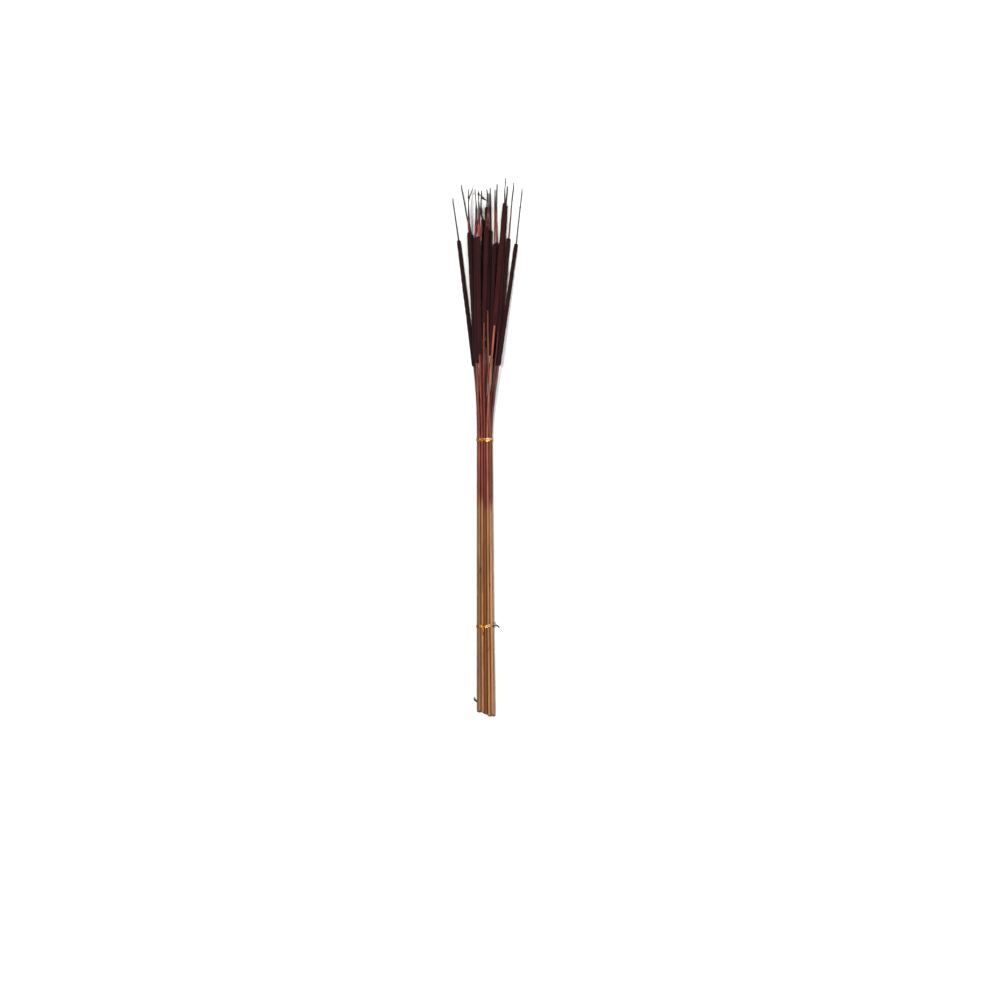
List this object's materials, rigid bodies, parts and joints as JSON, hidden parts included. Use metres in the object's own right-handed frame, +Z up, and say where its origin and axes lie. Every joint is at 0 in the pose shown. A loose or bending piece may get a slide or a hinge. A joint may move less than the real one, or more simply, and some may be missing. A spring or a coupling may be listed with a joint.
{
  "type": "dried cattail bunch",
  "caption": "Tied bunch of dried cattails lying on its side: long thin stems with velvety seed heads and fine spikes, held by two gold twist ties.",
  "frame": {"origin": "bottom centre of the whole bunch, on the surface that it lies on", "axes": "+Y from the cut ends to the tips, +Z up, +X to the right seen from above with the tips away from the viewer"},
  "size_m": [0.1008, 0.7621, 0.0263],
  "materials": {
    "stem": "dry fibrous reed, tan at the cut ends and dyed red-brown towards the heads",
    "seed_head": "dense matt velvety fluff, dyed dark burgundy",
    "tie": "crinkled gold foil over a thin wire"
  },
  "bodies": {
    "root": {"stem_01": "stem", "stem_02": "stem", "stem_03": "stem", "stem_04": "stem", "stem_05": "stem", "stem_06": "stem", "stem_07": "stem", "stem_08": "stem", "stem_09": "stem", "stem_10": "stem", "stem_11": "stem", "stem_12": "stem", "stem_13": "stem", "stem_14": "stem", "stem_15": "stem", "stem_16": "stem", "head_01": "seed_head", "head_02": "seed_head", "head_03": "seed_head", "head_04": "seed_head", "head_05": "seed_head", "head_06": "seed_head", "head_07": "seed_head", "head_08": "seed_head", "head_09": "seed_head", "head_10": "seed_head", "head_11": "seed_head", "head_12": "seed_head", "head_13": "seed_head", "head_14": "seed_head", "head_15": "seed_head", "head_16": "seed_head", "upper_tie": "tie", "lower_tie": "tie"}
  },
  "joints": []
}
